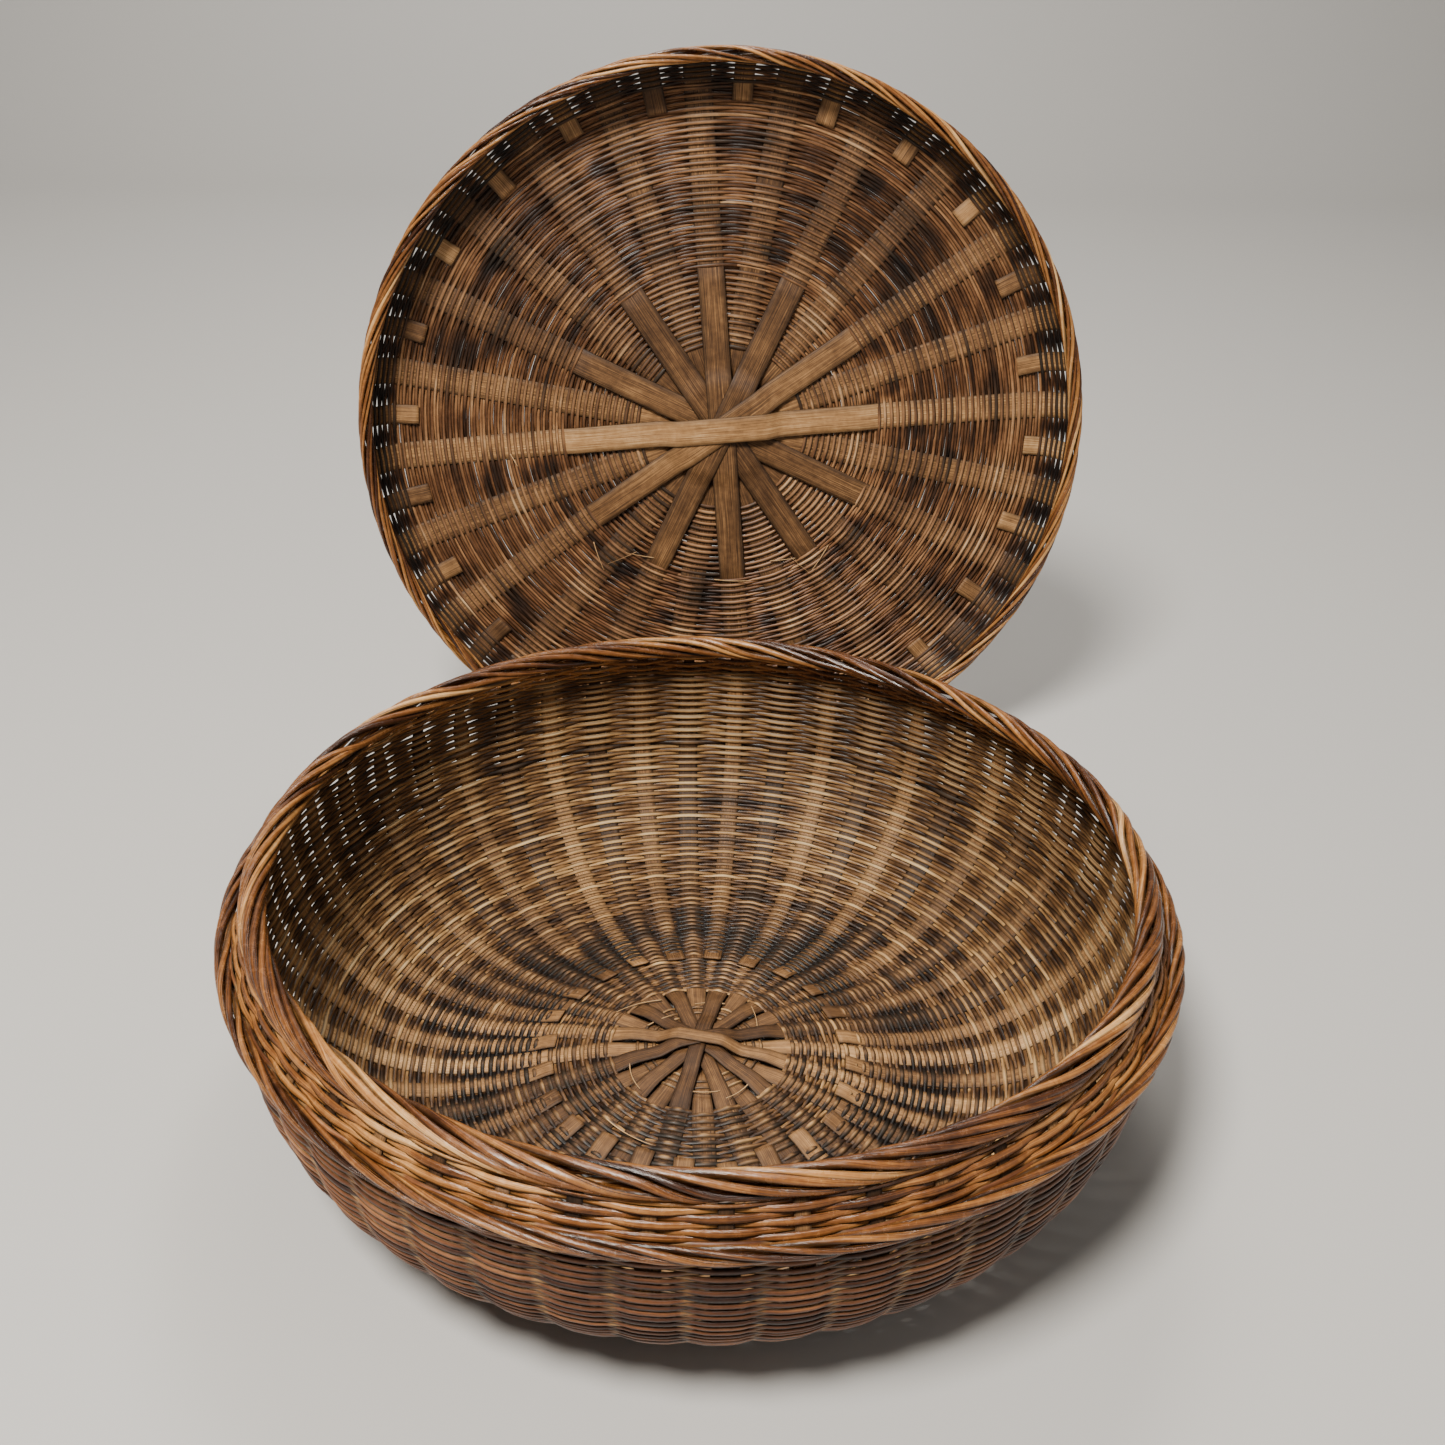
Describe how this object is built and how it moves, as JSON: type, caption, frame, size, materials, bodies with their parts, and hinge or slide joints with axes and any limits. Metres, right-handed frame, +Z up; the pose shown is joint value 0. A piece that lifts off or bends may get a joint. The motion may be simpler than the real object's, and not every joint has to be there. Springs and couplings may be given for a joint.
{
  "type": "covered bamboo basket",
  "caption": "Wide shallow round basket woven from bamboo splints, with an in-turned shoulder, a twisted rim and a matching shallow lid.",
  "frame": {"origin": "on the floor, at the middle of the bowl's foot ring", "axes": "+Z up; +Y from the bowl towards the lid, which stands on its edge behind it"},
  "size_m": [0.426, 0.5382, 0.4008],
  "materials": {
    "splint_stakes": "aged flat bamboo splint, satin",
    "bowl_weavers": "fine round weavers, medium brown with dark patches, satin",
    "lid_weavers": "fine round weavers, dark brown, dusty, satin",
    "border_rods": "orange-brown polished rods, semi-gloss"
  },
  "bodies": {
    "bowl": {"bowl_upper_stake_1": "splint_stakes", "bowl_upper_stake_2": "splint_stakes", "bowl_upper_stake_3": "splint_stakes", "bowl_upper_stake_4": "splint_stakes", "bowl_upper_stake_5": "splint_stakes", "bowl_upper_stake_6": "splint_stakes", "bowl_lower_stake_1": "splint_stakes", "bowl_lower_stake_2": "splint_stakes", "bowl_lower_stake_3": "splint_stakes", "bowl_lower_stake_4": "splint_stakes", "bowl_lower_stake_5": "splint_stakes", "bowl_lower_stake_6": "splint_stakes", "bowl_added_stakes": "splint_stakes", "bowl_centre_weave_inside": "bowl_weavers", "bowl_centre_weave_outside": "bowl_weavers", "bowl_base_weave_inside": "bowl_weavers", "bowl_base_weave_outside": "bowl_weavers", "bowl_turn_weave_inside": "bowl_weavers", "bowl_turn_weave_outside": "bowl_weavers", "bowl_wall_weave_inside": "bowl_weavers", "bowl_wall_weave_outside": "bowl_weavers", "bowl_shoulder_weave_inside": "bowl_weavers", "bowl_shoulder_weave_outside": "bowl_weavers", "bowl_shoulder_strand_1": "border_rods", "bowl_shoulder_strand_2": "border_rods", "bowl_shoulder_strand_3": "border_rods", "bowl_rim_strand_1": "border_rods", "bowl_rim_strand_2": "border_rods", "bowl_rim_strand_3": "border_rods", "bowl_rim_strand_4": "border_rods"},
    "lid": {"lid_upper_stake_1": "splint_stakes", "lid_upper_stake_2": "splint_stakes", "lid_upper_stake_3": "splint_stakes", "lid_upper_stake_4": "splint_stakes", "lid_upper_stake_5": "splint_stakes", "lid_upper_stake_6": "splint_stakes", "lid_lower_stake_1": "splint_stakes", "lid_lower_stake_2": "splint_stakes", "lid_lower_stake_3": "splint_stakes", "lid_lower_stake_4": "splint_stakes", "lid_lower_stake_5": "splint_stakes", "lid_lower_stake_6": "splint_stakes", "lid_added_stakes": "splint_stakes", "lid_centre_weave_inside": "lid_weavers", "lid_centre_weave_outside": "lid_weavers", "lid_panel_weave_inside": "lid_weavers", "lid_panel_weave_outside": "lid_weavers", "lid_skirt_weave_inside": "lid_weavers", "lid_skirt_weave_outside": "lid_weavers", "lid_border_strand_1": "border_rods", "lid_border_strand_2": "border_rods", "lid_border_strand_3": "border_rods", "lid_border_strand_4": "border_rods"}
  },
  "joints": [
    {"name": "lid_turn", "type": "hinge", "parent": "bowl", "child": "lid", "pos_m": [0.00649, 0.18294, 0.03005], "axis": [0.997, -0.0584, -0.0513], "range_deg": [0, 97.57]}
  ]
}
